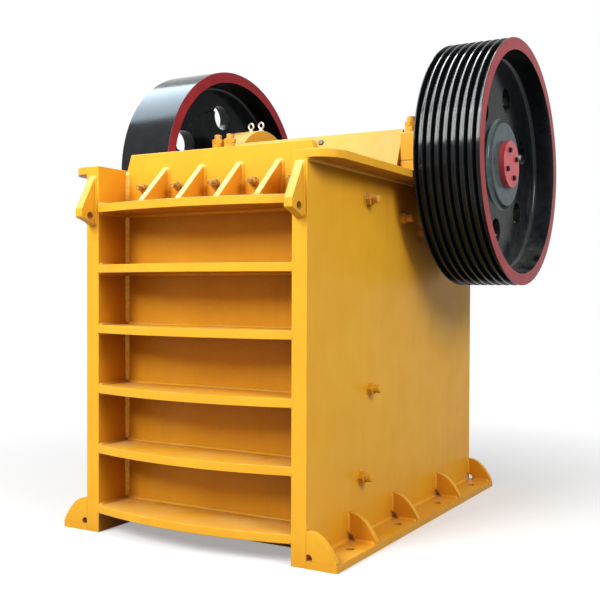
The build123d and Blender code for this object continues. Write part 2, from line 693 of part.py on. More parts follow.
# Flywheel with a plain rim
with BuildPart() as flywheel:
    with BuildSketch(GROUND.offset(SHAFT_Z)) as flywheel_section:
        with BuildLine():
            section = [
                (-RIM_IN_X, FLYWHEEL_R - RIM_T),
                (-RIM_IN_X, FLYWHEEL_R),
                (-RIM_OUT_X, FLYWHEEL_R),
                (-RIM_OUT_X, FLYWHEEL_R - RIM_T),
                (-FLY_WEB_X - WEB_T, FLYWHEEL_R - RIM_T - RIM_DRAFT),
                (-FLY_WEB_X - WEB_T, HUB_R),
                (-HUB_FACE_X, HUB_R - HUB_DRAFT),
                (-HUB_FACE_X, SEAT_R),
                (-HUB_BACK_X, SEAT_R),
                (-HUB_BACK_X, HUB_R - HUB_BACK_DRAFT),
                (-FLY_WEB_X + FLY_STEP, HUB_R),
                (-FLY_WEB_X + FLY_STEP, FLY_STEP_R),
                (-FLY_WEB_X, FLY_STEP_R + 4),
                (-FLY_WEB_X, FLYWHEEL_R - RIM_T - RIM_DRAFT),
            ]
            Polyline(*[(x, SHAFT_Y + r) for x, r in section], close=True)
        make_face()
        rim_corners = flywheel_section.vertices().filter_by(
            lambda corner: abs(corner.X + FLY_WEB_X + WEB_T / 2) < WEB_T / 2 + 1
            and abs(corner.Y - (SHAFT_Y + FLYWHEEL_R - RIM_T - RIM_DRAFT)) < 1
        )
        hub_corners = flywheel_section.vertices().filter_by(
            lambda corner: abs(corner.Y - (SHAFT_Y + HUB_R)) < 1
        )
        fillet(rim_corners + hub_corners, WEB_FILLET_R)
    revolve(axis=SHAFT_AXIS, revolution_arc=360)
    with BuildSketch(SIDE.offset(-FLY_WEB_X - WEB_T)):
        with Locations((SHAFT_Y, SHAFT_Z)):
            with PolarLocations(FLY_HOLE_PCR, WEB_HOLES, start_angle=31):
                Circle(FLY_HOLE_R)
    extrude(amount=WEB_T + FLY_STEP, mode=Mode.SUBTRACT)
flywheel.part.label = "flywheel"
export_step(flywheel.part, "parts/flywheel.step")

# Red end covers bolted over the shaft ends
with BuildPart() as pulley_cover:
    with BuildSketch(SIDE.offset(HUB_FACE_X)):
        with Locations((SHAFT_Y, SHAFT_Z)):
            Circle(COVER_R)
            with PolarLocations(COVER_HOLE_PCR, 4, start_angle=25):
                Circle(COVER_HOLE_R, mode=Mode.SUBTRACT)
    extrude(amount=COVER_T)
pulley_cover.part.label = "pulley_cover"
export_step(pulley_cover.part, "parts/pulley_cover.step")

with BuildPart() as flywheel_cover:
    mirror(pulley_cover.part, about=Plane.YZ)
flywheel_cover.part.label = "flywheel_cover"
export_step(flywheel_cover.part, "parts/flywheel_cover.step")

# Swing jaw casting: barrel on the eccentric, leaning front plate and four ribs
with BuildPart() as swing_jaw:
    with BuildSketch(jaw_plane):
        with Locations((0, CASTING_SKIN / 2)):
            Rectangle(2 * JAW_HALF_W, CASTING_SKIN)
    extrude(amount=face_length)
    rib_centres = [(JAW_HALF_W - JAW_RIB_T / 2) * share for share in (-1, -0.354, 0.354, 1)]
    for rib_x in rib_centres:
        with BuildSketch(SIDE.offset(rib_x - JAW_RIB_T / 2)):
            with BuildLine():
                Polyline(
                    casting_bottom,
                    (casting_bottom[0] + JAW_RIB_FOOT, casting_bottom[1] - 6),
                    (SEAT_BACK_Y - 62, ROD_Z + 60),
                    (SEAT_BACK_Y, TOGGLE_FRONT[1] - TOGGLE_BLOCK_H / 2),
                    (SEAT_BACK_Y, TOGGLE_FRONT[1] + TOGGLE_BLOCK_H / 2),
                    JAW_RIB_BACK,
                    BARREL_HEEL,
                    (SHAFT_Y, SHAFT_Z),
                    BARREL_BROW,
                    casting_top,
                    close=True,
                )
            make_face()
        extrude(amount=JAW_RIB_T)
    with BuildSketch(SIDE.offset(-JAW_HALF_W)):
        with Locations((SHAFT_Y, SHAFT_Z)):
            Circle(BARREL_R)
        with Locations((SEAT_BACK_Y - SEAT_PAD_T / 2, TOGGLE_FRONT[1])):
            Rectangle(SEAT_PAD_T, TOGGLE_BLOCK_H)
    extrude(amount=2 * JAW_HALF_W)
    with BuildSketch(SIDE.offset(-JAW_HALF_W)):
        with Locations((SHAFT_Y, SHAFT_Z)):
            Circle(BORE_R)
    extrude(amount=2 * JAW_HALF_W, mode=Mode.SUBTRACT)
    for side in (-1, 1):
        for cheek in (-1, 1):
            lug_x = side * ROD_X + cheek * (ROD_EYE_T + ROD_LUG_T) / 2
            with BuildSketch(SIDE.offset(lug_x - ROD_LUG_T / 2)):
                with BuildLine():
                    Polyline(
                        (casting_bottom[0] + 40, ROD_Z - 40),
                        (rod_eye[0], ROD_Z - ROD_EYE_R),
                        (rod_eye[0] + ROD_EYE_R, ROD_Z),
                        (rod_eye[0], ROD_Z + ROD_EYE_R),
                        (casting_bottom[0] + 100, ROD_Z + 120),
                        close=True,
                    )
                make_face()
                with Locations(rod_eye):
                    Circle(ROD_PIN_R, mode=Mode.SUBTRACT)
            extrude(amount=ROD_LUG_T)
swing_jaw.part.label = "swing_jaw"
export_step(swing_jaw.part, "parts/swing_jaw.step")

# Toothed swing jaw plate, its teeth opposite the fixed plate's gaps
with BuildPart() as swing_jaw_plate:
    with BuildSketch(jaw_plane):
        with BuildLine():
            Polyline(
                *teeth_points(
                    JAW_HALF_W,
                    0,
                    -(SWING_PLATE_T - TOOTH_H),
                    -SWING_PLATE_T,
                    fixed_teeth - 1,
                ),
                close=True,
            )
        make_face()
    extrude(amount=face_length)
swing_jaw_plate.part.label = "swing_jaw_plate"
export_step(swing_jaw_plate.part, "parts/swing_jaw_plate.step")

with BuildPart() as toggle_seat:
    with BuildSketch(SIDE.offset(-TOGGLE_HALF_W - TOGGLE_RIM)):
        with Locations(((SEAT_BACK_Y + SEAT_FRONT_Y) / 2, TOGGLE_FRONT[1])):
            Rectangle(SEAT_FRONT_Y - SEAT_BACK_Y, TOGGLE_SEAT_H)
        with Locations(TOGGLE_FRONT):
            Circle(TOGGLE_END_R + TOGGLE_PLAY, mode=Mode.SUBTRACT)
    extrude(amount=2 * (TOGGLE_HALF_W + TOGGLE_RIM))
toggle_seat.part.label = "toggle_seat"
export_step(toggle_seat.part, "parts/toggle_seat.step")

# Toggle plate with a round edge at each end
with BuildPart() as toggle_plate:
    reach = math.dist(TOGGLE_FRONT, TOGGLE_REAR)
    slope = math.degrees(
        math.atan2(TOGGLE_REAR[1] - TOGGLE_FRONT[1], TOGGLE_REAR[0] - TOGGLE_FRONT[0])
    )
    middle = (
        (TOGGLE_FRONT[0] + TOGGLE_REAR[0]) / 2,
        (TOGGLE_FRONT[1] + TOGGLE_REAR[1]) / 2,
    )
    with BuildSketch(SIDE.offset(-TOGGLE_HALF_W)):
        with Locations(Location((middle[0], middle[1], 0), (0, 0, slope))):
            Rectangle(reach, TOGGLE_T)
        with Locations(TOGGLE_FRONT, TOGGLE_REAR):
            Circle(TOGGLE_END_R)
    extrude(amount=2 * TOGGLE_HALF_W)
toggle_plate.part.label = "toggle_plate"
export_step(toggle_plate.part, "parts/toggle_plate.step")

# Tension rods with an eye on a pin at the jaw and a washer and nuts at the rear
spring_y = REAR_WALL_Y + REAR_WALL_T
spring_length = SPRING_TURNS * SPRING_PITCH + 2 * SPRING_WIRE_R
washer_y = spring_y + spring_length + ROD_TRAVEL
pin_length = ROD_EYE_T + 2 * (ROD_LUG_T + ROD_PIN_PROUD)
with BuildPart() as tension_rods:
    for rod_x in (-ROD_X, ROD_X):
        with BuildSketch(SIDE.offset(rod_x - ROD_EYE_T / 2)):
            with Locations(rod_eye):
                Circle(ROD_EYE_R)
        extrude(amount=ROD_EYE_T)
        with BuildSketch(SIDE.offset(rod_x - pin_length / 2)):
            with Locations(rod_eye):
                Circle(ROD_PIN_R)
        extrude(amount=pin_length)
        with BuildSketch(FRONT.offset(-rod_eye[0])):
            with Locations((rod_x, ROD_Z)):
                Circle(ROD_R)
        extrude(amount=-(washer_y + ROD_TAIL - rod_eye[0]))
        with BuildSketch(FRONT.offset(-washer_y)):
            with Locations((rod_x, ROD_Z)):
                Circle(WASHER_R)
        extrude(amount=-WASHER_T)
        with BuildSketch(FRONT.offset(-(washer_y + WASHER_T))):
            with Locations((rod_x, ROD_Z)):
                RegularPolygon(ROD_NUT_R, 6)
        extrude(amount=-ROD_NUT_H)
tension_rods.part.label = "tension_rods"
export_step(tension_rods.part, "parts/tension_rods.step")

# Coil springs round the tension rods, seated on the rear wall
with BuildPart() as tension_springs:
    for rod_x in (-ROD_X, ROD_X):
        with BuildLine():
            Helix(
                pitch=SPRING_PITCH,
                height=SPRING_TURNS * SPRING_PITCH,
                radius=SPRING_R,
                center=(rod_x, FRONT_Y + spring_y + SPRING_WIRE_R, ROD_Z),
                direction=(0, 1, 0),
            )
        with BuildSketch(Plane(
            origin=(rod_x, FRONT_Y + spring_y + SPRING_WIRE_R, ROD_Z + SPRING_R),
            x_dir=(0, 1, 0),
            z_dir=(1, 0, 0),
        )):
            Circle(SPRING_WIRE_R)
        sweep()
tension_springs.part.label = "tension_springs"
export_step(tension_springs.part, "parts/tension_springs.step")
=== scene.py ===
"""Look of the jaw crusher: paint, castings, welds, fasteners, floor, light and camera.

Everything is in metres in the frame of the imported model: X runs towards the belt pulley,
Y from the ribbed front to the rear, and Z is up from the ground. Colours are linear RGB.
"""
import json
import math

import bmesh
import bpy
from mathutils import Matrix, Vector


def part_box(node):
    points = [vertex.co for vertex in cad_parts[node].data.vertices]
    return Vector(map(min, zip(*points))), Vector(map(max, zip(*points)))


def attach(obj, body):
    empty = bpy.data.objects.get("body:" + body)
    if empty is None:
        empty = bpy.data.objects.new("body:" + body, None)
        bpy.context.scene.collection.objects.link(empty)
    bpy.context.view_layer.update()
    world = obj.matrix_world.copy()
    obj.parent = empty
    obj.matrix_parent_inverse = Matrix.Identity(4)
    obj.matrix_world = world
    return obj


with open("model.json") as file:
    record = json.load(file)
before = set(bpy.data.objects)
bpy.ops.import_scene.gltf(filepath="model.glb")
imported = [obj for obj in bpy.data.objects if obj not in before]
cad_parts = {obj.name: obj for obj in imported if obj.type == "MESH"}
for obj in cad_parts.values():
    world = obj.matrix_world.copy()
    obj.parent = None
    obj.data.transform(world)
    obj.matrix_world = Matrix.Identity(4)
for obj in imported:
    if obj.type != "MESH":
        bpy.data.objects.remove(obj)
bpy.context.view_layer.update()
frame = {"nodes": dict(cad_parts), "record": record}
nodes = frame["nodes"]

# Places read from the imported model
plate_low, plate_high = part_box("side_plate_right")
inner_x, half_w = plate_low.x, plate_high.x
front_y, rear_y = plate_low.y, plate_high.y
frame_h = plate_high.z
wall_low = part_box("front_wall")[0]
wall_y = wall_low.y
pulley_low, pulley_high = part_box("belt_pulley")
shaft_y = (pulley_low.y + pulley_high.y) / 2
shaft_z = (pulley_low.z + pulley_high.z) / 2
pulley_r = (pulley_high.z - pulley_low.z) / 2
rim_in_x, rim_out_x = pulley_low.x, pulley_high.x
cover_low, cover_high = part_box("pulley_cover")

# Sizes of the solids that their boxes don't give
SHELF_COUNT = 6
RIM_T = 0.054
HUB_R = 0.200
GUSSET_COUNT = 4
GUSSET_T = 0.028
LUG_T = 0.036
FOOT_T = 0.024
FOOT_STARTS = (0.0, 0.313, 0.703, 1.178, rear_y - front_y - FOOT_T)
RIB_COUNT = 4
CAP_NUT_AF = 0.055
COVER_HOLE_COUNT = 4
COVER_HOLE_PCR = 0.068
COVER_HOLE_START = math.radians(25)

# Points closer than this are one point
MERGE_DISTANCE = 0.00002


# Helpers for node materials
def node(tree, kind, links=None, **settings):
    """Adds a shader node; links maps an input's name or number to a socket or a value."""
    made = tree.nodes.new(kind)
    for key, value in settings.items():
        setattr(made, key, value)
    for key, value in (links or {}).items():
        if isinstance(value, bpy.types.NodeSocket):
            tree.links.new(value, made.inputs[key])
        else:
            made.inputs[key].default_value = value
    return made


def new_material(name):
    """An empty node material with its tree and its Object coordinates."""
    material = bpy.data.materials.new(name)
    material.use_nodes = True
    tree = material.node_tree
    tree.nodes.clear()
    coords = node(tree, "ShaderNodeTexCoord").outputs["Object"]
    return material, tree, coords


def close(tree, links):
    """Ends a tree with a Principled shader."""
    shader = node(tree, "ShaderNodeBsdfPrincipled", links)
    node(tree, "ShaderNodeOutputMaterial", {"Surface": shader.outputs[0]})


def math_node(tree, operation, first, second=0.0):
    """One operation of a Math node on one or two values."""
    return node(tree, "ShaderNodeMath", {0: first, 1: second}, operation=operation).outputs[0]


def product(tree, first, *factors):
    """Several values multiplied with each other."""
    for factor in factors:
        first = math_node(tree, "MULTIPLY", first, factor)
    return first


def separate(tree, vector):
    """The x, y and z of a vector."""
    return node(tree, "ShaderNodeSeparateXYZ", {0: vector}).outputs


def noise(tree, coords, scale, detail=3.0, roughness=0.5, stretch=None):
    """Cloudy noise around 0.5, with lumps of about 1 / scale metres."""
    if stretch:
        coords = node(tree, "ShaderNodeMapping", {0: coords, "Scale": stretch}).outputs[0]
    made = node(tree, "ShaderNodeTexNoise", {
        "Vector": coords, "Scale": scale, "Detail": detail, "Roughness": roughness,
    })
    return made.outputs["Fac"]


def ramp(tree, value, low, high, out_low=0.0, out_high=1.0):
    """Maps low to high onto out_low to out_high, and clamps past both ends."""
    made = node(tree, "ShaderNodeMapRange", {
        "Value": value, "From Min": low, "From Max": high, "To Min": out_low, "To Max": out_high,
    })
    return made.outputs["Result"]


def opaque(colour):
    """A colour with its alpha, where it isn't a socket."""
    return colour if isinstance(colour, bpy.types.NodeSocket) else (*colour, 1.0)


def mix(tree, factor, first, second):
    """Blends two colours, which are inputs 6 and 7 of the node."""
    links = {0: factor, 6: opaque(first), 7: opaque(second)}
    return node(tree, "ShaderNodeMix", links, data_type="RGBA").outputs[2]


def bump(tree, height, strength, distance, normal=None):
    """A normal that follows a height, on top of another bump where one is given."""
    links = {"Height": height, "Strength": strength, "Distance": distance}
    if normal:
        links["Normal"] = normal
    return node(tree, "ShaderNodeBump", links).outputs[0]


def openness(tree, distance, normal=None):
    """1 in the open and 0 where other surfaces stand within the distance."""
    links = {"Distance": distance}
    if normal:
        links["Normal"] = normal
    return node(tree, "ShaderNodeAmbientOcclusion", links, samples=6).outputs["AO"]


def seen_by(tree, *rays):
    """1 for the named kinds of ray and 0 for the others."""
    path = node(tree, "ShaderNodeLightPath")
    seen = path.outputs[rays[0]]
    for ray in rays[1:]:
        seen = math_node(tree, "MAXIMUM", seen, path.outputs[ray])
    return seen


# Yellow enamel
ENAMEL, ENAMEL_DEEP = (0.93, 0.476, 0.032), (0.88, 0.432, 0.028)
ENAMEL_MOTTLED = (0.78, 0.345, 0.022)
ENAMEL_STREAKED = (0.76, 0.33, 0.014)
# Painted shade: the enamel turns warmer and darker in corners and darker where sky is hidden
ENAMEL_PAINTED_CORNER_SHADE = (0.56, 0.175, 0.008)
ENAMEL_PAINTED_SKY_SHADE = (0.26, 0.070, 0.005)
# Painted light: a pale cream on upward faces high on the machine
ENAMEL_PAINTED_LIGHT = (0.90, 0.73, 0.37)
ENAMEL_DUST = (0.74, 0.56, 0.27)
# Weld beads lighter than the plate, with pale spots as painted glints
BEAD, BEAD_PAINTED_GLINT = (0.93, 0.56, 0.07), (0.95, 0.72, 0.22)
# Heights over which the painted light comes in
PAINTED_LIGHT_FROM_Z, PAINTED_LIGHT_FULL_Z = 1.15, 1.45
# How far the painted shade in corners and under things reaches
CORNER_SHADE_REACH = 0.22
SKY_SHADE_REACH = 0.30
SKYWARD = (0, 0, 1.1)


def plain_coat(tree, coords):
    """Enamel that drifts in tone, with mottles and with streaks down the machine."""
    drift = ramp(tree, noise(tree, coords, 2.3, 2.0), 0.35, 0.65)
    base = mix(tree, drift, ENAMEL, ENAMEL_DEEP)
    mottle = ramp(tree, noise(tree, coords, 9.0, 5.0, 0.6), 0.45, 0.70, 0.0, 0.20)
    base = mix(tree, mottle, base, ENAMEL_MOTTLED)
    streak = noise(tree, coords, 1.0, 4.0, 0.6, stretch=(26, 26, 1.6))
    return mix(tree, ramp(tree, streak, 0.52, 0.75, 0.0, 0.22), base, ENAMEL_STREAKED)


def bead_coat(tree, coords):
    """Enamel on a weld, lighter than on the plate and in pale spots: painted glints over the
    bead's rough skin.
    """
    painted_glints = ramp(tree, noise(tree, coords, 70.0, 3.0), 0.45, 0.60)
    return mix(tree, painted_glints, BEAD, BEAD_PAINTED_GLINT)


def paint_shade_in_corners(tree, base, normal, bead):
    """Paints shade into the enamel: a warmer, darker tone in corners and a darker one where little
    sky is in view, both less on beads.
    """
    near_open = openness(tree, CORNER_SHADE_REACH)
    raised = node(tree, "ShaderNodeVectorMath", {0: normal, 1: SKYWARD}).outputs[0]
    raised = node(tree, "ShaderNodeVectorMath", {0: raised}, operation="NORMALIZE").outputs[0]
    sky_open = openness(tree, SKY_SHADE_REACH, raised)
    if bead:
        painted_corner_shade = ramp(tree, near_open, 0.10, 0.50, 0.20, 0.0)
        painted_sky_shade = ramp(tree, sky_open, 0.10, 0.50, 0.20, 0.0)
    else:
        painted_corner_shade = ramp(tree, near_open, 0.20, 0.75, 0.62, 0.0)
        painted_sky_shade = ramp(tree, sky_open, 0.12, 0.42, 0.75, 0.0)
    base = mix(tree, painted_corner_shade, base, ENAMEL_PAINTED_CORNER_SHADE)
    return mix(tree, painted_sky_shade, base, ENAMEL_PAINTED_SKY_SHADE)


def dust_and_painted_light(tree, coords, base, normal):
    """Lays dust on level faces and paints light onto the upper faces high on the machine, as a
    pale cream.
    """
    upward = separate(tree, normal)[2]
    height = separate(tree, coords)[2]
    cloudy = ramp(tree, noise(tree, coords, 7.0, 5.0, 0.65), 0.4, 0.7)
    settled = product(tree, ramp(tree, upward, 0.75, 1.0, 0.0, 0.34), cloudy)
    base = mix(tree, settled, base, ENAMEL_DUST)
    # Painted light on upward faces, strongest on slopes high up
    painted_light = product(
        tree,
        ramp(tree, upward, 0.15, 0.65, 0.0, 0.75),
        ramp(tree, height, PAINTED_LIGHT_FROM_Z, PAINTED_LIGHT_FULL_Z),
        ramp(tree, cloudy, 0.0, 1.0, 0.6, 1.0),
        ramp(tree, upward, 0.75, 0.98, 1.0, 0.55),
    )
    return mix(tree, painted_light, base, ENAMEL_PAINTED_LIGHT)


def yellow_enamel(name, cast=False, bead=False):
    """Glossy yellow machine enamel over plate, over a sand casting or over a weld bead, with
    painted shade and painted light in its colour.
    """
    material, tree, coords = new_material(name)
    normal = node(tree, "ShaderNodeNewGeometry").outputs["Normal"]
    base = bead_coat(tree, coords) if bead else plain_coat(tree, coords)
    # Painted shade in corners and where little sky is in view
    base = paint_shade_in_corners(tree, base, normal, bead)
    # Dust on level faces, and painted light on the upper faces
    base = dust_and_painted_light(tree, coords, base, normal)
    gloss = ramp(tree, noise(tree, coords, 9.0, 4.0), 0.3, 0.7, 0.30, 0.42)
    if cast:
        skin = bump(tree, noise(tree, coords, 75.0, 5.0, 0.6), 0.28, 0.004)
    else:
        skin = bump(tree, noise(tree, coords, 5.0, 1.0), 0.10, 0.010)
    orange_peel = noise(tree, coords, 330.0, 1.0)
    skin = bump(tree, orange_peel, 0.05, 0.0006, skin)
    close(tree, {
        "Base Color": base, "Roughness": gloss, "Normal": skin, "Specular IOR Level": 0.13,
    })
    return material


# Paint of the wheels
WHEEL_BLACK, WHEEL_BLACK_WORN = (0.0045, 0.0055, 0.0065), (0.0110, 0.0130, 0.0140)
RIM_RED, RIM_RED_DEEP = (0.43, 0.036, 0.045), (0.33, 0.024, 0.032)
HUB_GREY, HUB_GREY_DEEP = (0.100, 0.135, 0.140), (0.060, 0.086, 0.092)
# Pale grey for dust and a painted reflection inside the rims
WHEEL_DUST_AND_REFLECTION = (0.19, 0.20, 0.20)
# How far the paint's border wanders, how far it runs over an edge, from which share of x in its
# normal a face counts as flat, how deep the red sits on the rim's faces, and how far the grey
# reaches past the hub's radius and in from the cover
PAINT_RAGGED = 0.0015
PAINT_OVERLAP = 0.002
FLAT_LIMIT = 0.9
FACE_DEPTH = 0.0035
HUB_FILLET = 0.012
HUB_DEPTH = 0.026


def wheel_paint(name):
    """Black gloss paint with red rim faces and grey-green hubs, placed by radius and x."""
    material, tree, coords = new_material(name)
    place = separate(tree, coords)
    across = math_node(tree, "ABSOLUTE", place[0])
    out_y = math_node(tree, "SUBTRACT", place[1], shaft_y)
    out_z = math_node(tree, "SUBTRACT", place[2], shaft_z)
    square = math_node(tree, "ADD", product(tree, out_y, out_y), product(tree, out_z, out_z))
    radius = math_node(tree, "POWER", square, 0.5)
    ragged = ramp(tree, noise(tree, coords, 60.0, 3.0), 0.3, 0.7, -PAINT_RAGGED, PAINT_RAGGED)
    edge = math_node(tree, "ADD", radius, ragged)
    facing = separate(tree, node(tree, "ShaderNodeNewGeometry").outputs["True Normal"])
    flat = math_node(tree, "GREATER_THAN", math_node(tree, "ABSOLUTE", facing[0]), FLAT_LIMIT)

    # Black, worn in places
    worn_black = ramp(tree, noise(tree, coords, 14.0, 5.0, 0.6), 0.45, 0.75)
    colour = mix(tree, worn_black, WHEEL_BLACK, WHEEL_BLACK_WORN)

    # Red on both faces of the rim
    on_rim = math_node(tree, "GREATER_THAN", edge, pulley_r - RIM_T - PAINT_OVERLAP)
    at_out = math_node(tree, "GREATER_THAN", across, rim_out_x - FACE_DEPTH)
    at_in = math_node(tree, "LESS_THAN", across, rim_in_x + FACE_DEPTH)
    ring = product(tree, on_rim, math_node(tree, "MAXIMUM", at_out, at_in), flat)
    red_tone = ramp(tree, noise(tree, coords, 11.0, 4.0), 0.35, 0.7)
    colour = mix(tree, ring, colour, mix(tree, red_tone, RIM_RED, RIM_RED_DEEP))

    # Grey-green on the outer face of the hub
    in_hub = math_node(tree, "LESS_THAN", edge, HUB_R + HUB_FILLET)
    hub_face = math_node(tree, "GREATER_THAN", across, cover_low.x - HUB_DEPTH)
    grey_tone = ramp(tree, noise(tree, coords, 22.0, 5.0, 0.6), 0.4, 0.7)
    grey = mix(tree, grey_tone, HUB_GREY, HUB_GREY_DEEP)
    colour = mix(tree, product(tree, in_hub, hub_face), colour, grey)

    # Pale grey inside the rim: dust on what faces up, and a painted reflection towards the bottom
    inside = math_node(tree, "LESS_THAN", edge, pulley_r - RIM_T + PAINT_OVERLAP)
    blotches = ramp(tree, noise(tree, coords, 10.0, 5.0, 0.65), 0.35, 0.65)
    upward = ramp(tree, facing[2], 0.40, 0.95, 0.0, 0.60)
    # Painted reflection, growing towards the bottom of the rim
    painted_reflection_low = ramp(tree, out_z, 0.05, -0.40, 0.0, 0.22)
    dust_and_reflection = product(tree, math_node(tree, "MAXIMUM", upward, painted_reflection_low), blotches, inside)
    colour = mix(tree, dust_and_reflection, colour, WHEEL_DUST_AND_REFLECTION)

    sheen = ramp(tree, flat, 0.0, 1.0, 0.24, 0.05)
    gloss = ramp(tree, noise(tree, coords, 18.0, 4.0), 0.3, 0.7, 0.12, 0.19)
    skin = bump(tree, noise(tree, coords, 120.0, 4.0, 0.6), 0.08, 0.0010)
    close(tree, {
        "Base Color": colour, "Roughness": gloss, "Normal": skin, "Specular IOR Level": sheen,
    })
    return material


# Other paint, castings and steel
COVER_RED, COVER_RED_DEEP = (0.66, 0.085, 0.100), (0.55, 0.055, 0.070)
RUBBED_PAINT, RUBBED_STEEL = (0.62, 0.34, 0.045), (0.200, 0.105, 0.030)
MANGANESE, MANGANESE_LIGHT = (0.085, 0.075, 0.068), (0.135, 0.118, 0.104)
RUST = (0.200, 0.078, 0.028)


def red_enamel(name):
    """Red enamel of the end covers."""
    material, tree, coords = new_material(name)
    tone = ramp(tree, noise(tree, coords, 17.0, 4.0), 0.35, 0.7)
    base = mix(tree, tone, COVER_RED, COVER_RED_DEEP)
    gloss = ramp(tree, noise(tree, coords, 25.0, 3.0), 0.3, 0.7, 0.32, 0.44)
    skin = bump(tree, noise(tree, coords, 240.0, 2.0), 0.08, 0.0006)
    close(tree, {
        "Base Color": base, "Roughness": gloss, "Normal": skin, "Specular IOR Level": 0.3,
    })
    return material


def worn_paint(name):
    """Yellow paint rubbed through to brown steel on the jaw bolts."""
    material, tree, coords = new_material(name)
    rubbed = noise(tree, coords, 85.0, 4.0, 0.6)
    base = mix(tree, ramp(tree, rubbed, 0.40, 0.62), RUBBED_PAINT, RUBBED_STEEL)
    gloss = ramp(tree, rubbed, 0.3, 0.7, 0.40, 0.62)
    skin = bump(tree, rubbed, 0.25, 0.0012)
    close(tree, {
        "Base Color": base, "Roughness": gloss, "Normal": skin, "Specular IOR Level": 0.3,
    })
    return material


def manganese_casting(name):
    """Rough dark jaw steel with blotches of rust."""
    material, tree, coords = new_material(name)
    coarse = noise(tree, coords, 42.0, 6.0, 0.65)
    blotch = noise(tree, coords, 6.0, 5.0, 0.6)
    base = mix(tree, ramp(tree, coarse, 0.35, 0.65), MANGANESE, MANGANESE_LIGHT)
    base = mix(tree, ramp(tree, blotch, 0.50, 0.68, 0.0, 0.75), base, RUST)
    gloss = ramp(tree, coarse, 0.3, 0.7, 0.52, 0.80)
    skin = bump(tree, coarse, 0.45, 0.004)
    close(tree, {"Base Color": base, "Metallic": 0.25, "Roughness": gloss, "Normal": skin})
    return material


def bare_steel(name, light, dark, rough_low, rough_high, turned=False):
    """Machined, forged or oxide-dark steel with oil stains."""
    material, tree, coords = new_material(name)
    stain = noise(tree, coords, 19.0, 5.0, 0.6)
    base = mix(tree, ramp(tree, stain, 0.38, 0.66), light, dark)
    grain = noise(tree, coords, 90.0, 3.0, stretch=(9, 1, 1) if turned else None)
    gloss = ramp(tree, grain, 0.3, 0.7, rough_low, rough_high)
    skin = bump(tree, grain, 0.10, 0.0005)
    close(tree, {"Base Color": base, "Metallic": 0.85, "Roughness": gloss, "Normal": skin})
    return material


yellow = yellow_enamel("yellow_enamel")
yellow_cast = yellow_enamel("yellow_enamel_on_casting", cast=True)
yellow_bead = yellow_enamel("yellow_enamel_on_welds", bead=True)
wheels = wheel_paint("wheel_paint")
red = red_enamel("red_enamel")
jaw_steel = manganese_casting("manganese_casting")
dark_steel = bare_steel("oxide_steel", (0.120, 0.105, 0.090), (0.065, 0.055, 0.048), 0.36, 0.55)
turned_steel = bare_steel(
    "turned_steel", (0.52, 0.51, 0.49), (0.36, 0.34, 0.31), 0.22, 0.36, turned=True,
)
black_steel = bare_steel(
    "black_oxide_steel", (0.016, 0.016, 0.018), (0.009, 0.009, 0.010), 0.40, 0.60,
)
zinc_steel = bare_steel("zinc_steel", (0.78, 0.73, 0.58), (0.62, 0.56, 0.42), 0.30, 0.48)
worn = worn_paint("worn_paint")
forged_steel = bare_steel("forged_steel", (0.24, 0.215, 0.19), (0.15, 0.12, 0.095), 0.42, 0.62)

# Materials of the carried-over pieces, by slot and for some by name
SLOT_FINISH = {
    "yellow_paint": yellow, "black_paint": wheels, "red_paint": red,
    "jaw_steel": jaw_steel, "bare_steel": forged_steel,
}
OWN_FINISH = {
    "bearing_base_left": yellow_cast, "bearing_base_right": yellow_cast,
    "bearing_cap_left": yellow_cast, "bearing_cap_right": yellow_cast, "swing_jaw": yellow_cast,
    "eccentric_shaft": turned_steel, "tension_rods": dark_steel, "tension_springs": dark_steel,
    "jaw_bolts": worn,
}
for part in frame["record"]["subparts"]:
    material = OWN_FINISH.get(part["node"], SLOT_FINISH[part["material_slot"]])
    mesh = nodes[part["node"]].data
    if not mesh.materials:
        mesh.materials.append(material)
    for index in range(len(mesh.materials)):
        mesh.materials[index] = material

# Small rounded edges on the carried-over pieces. Before the bevel, a dissolve clears flat faces
# of the thin triangles on which it would leave slits. The tension rods go without the dissolve,
# which would alter their shape, and the springs have no edges to round.
EDGE = 0.0025
EDGES = {
    "belt_pulley": 0.0012, "flywheel": 0.003, "pulley_cover": 0.0015, "flywheel_cover": 0.0015,
    "jaw_bolts": 0.0015, "cap_studs_left": 0.0015, "cap_studs_right": 0.0015,
    "cheek_bolts_left": 0.0015, "cheek_bolts_right": 0.0015, "fixed_jaw_plate": 0.004,
    "swing_jaw_plate": 0.004, "swing_jaw": 0.005, "bearing_cap_left": 0.006,
    "bearing_cap_right": 0.006, "bearing_base_left": 0.004, "bearing_base_right": 0.004,
    "lifting_lugs": 0.003, "eccentric_shaft": 0.002, "tension_springs": 0.0,
}
FLAT_ANGLE = math.radians(0.3)
EDGE_ANGLE = math.radians(38)
for name, obj in nodes.items():
    weld = obj.modifiers.new("weld", "WELD")
    weld.merge_threshold = MERGE_DISTANCE
    width = EDGES.get(name, EDGE)
    if width and name != "tension_rods":
        flat = obj.modifiers.new("flat", "DECIMATE")
        flat.decimate_type = "DISSOLVE"
        flat.angle_limit = FLAT_ANGLE
    if width:
        edge = obj.modifiers.new("edges", "BEVEL")
        edge.width = width
        edge.segments = 2
        edge.limit_method = "ANGLE"
        edge.angle_limit = EDGE_ANGLE
        edge.use_clamp_overlap = True
    shading = obj.modifiers.new("shading", "WEIGHTED_NORMAL")
    shading.keep_sharp = False


# Helpers for pieces of the scene's own
def add_piece(bm, name, body, material, sharp):
    """Turns a bmesh into a piece that rides on a body, creased past sharp degrees."""
    bmesh.ops.recalc_face_normals(bm, faces=bm.faces)
    mesh = bpy.data.meshes.new(name)
    bm.to_mesh(mesh)
    bm.free()
    mesh.shade_smooth()
    mesh.set_sharp_from_angle(angle=math.radians(sharp))
    mesh.materials.append(material)
    obj = bpy.data.objects.new(name, mesh)
    bpy.context.scene.collection.objects.link(obj)
    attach(obj, body)


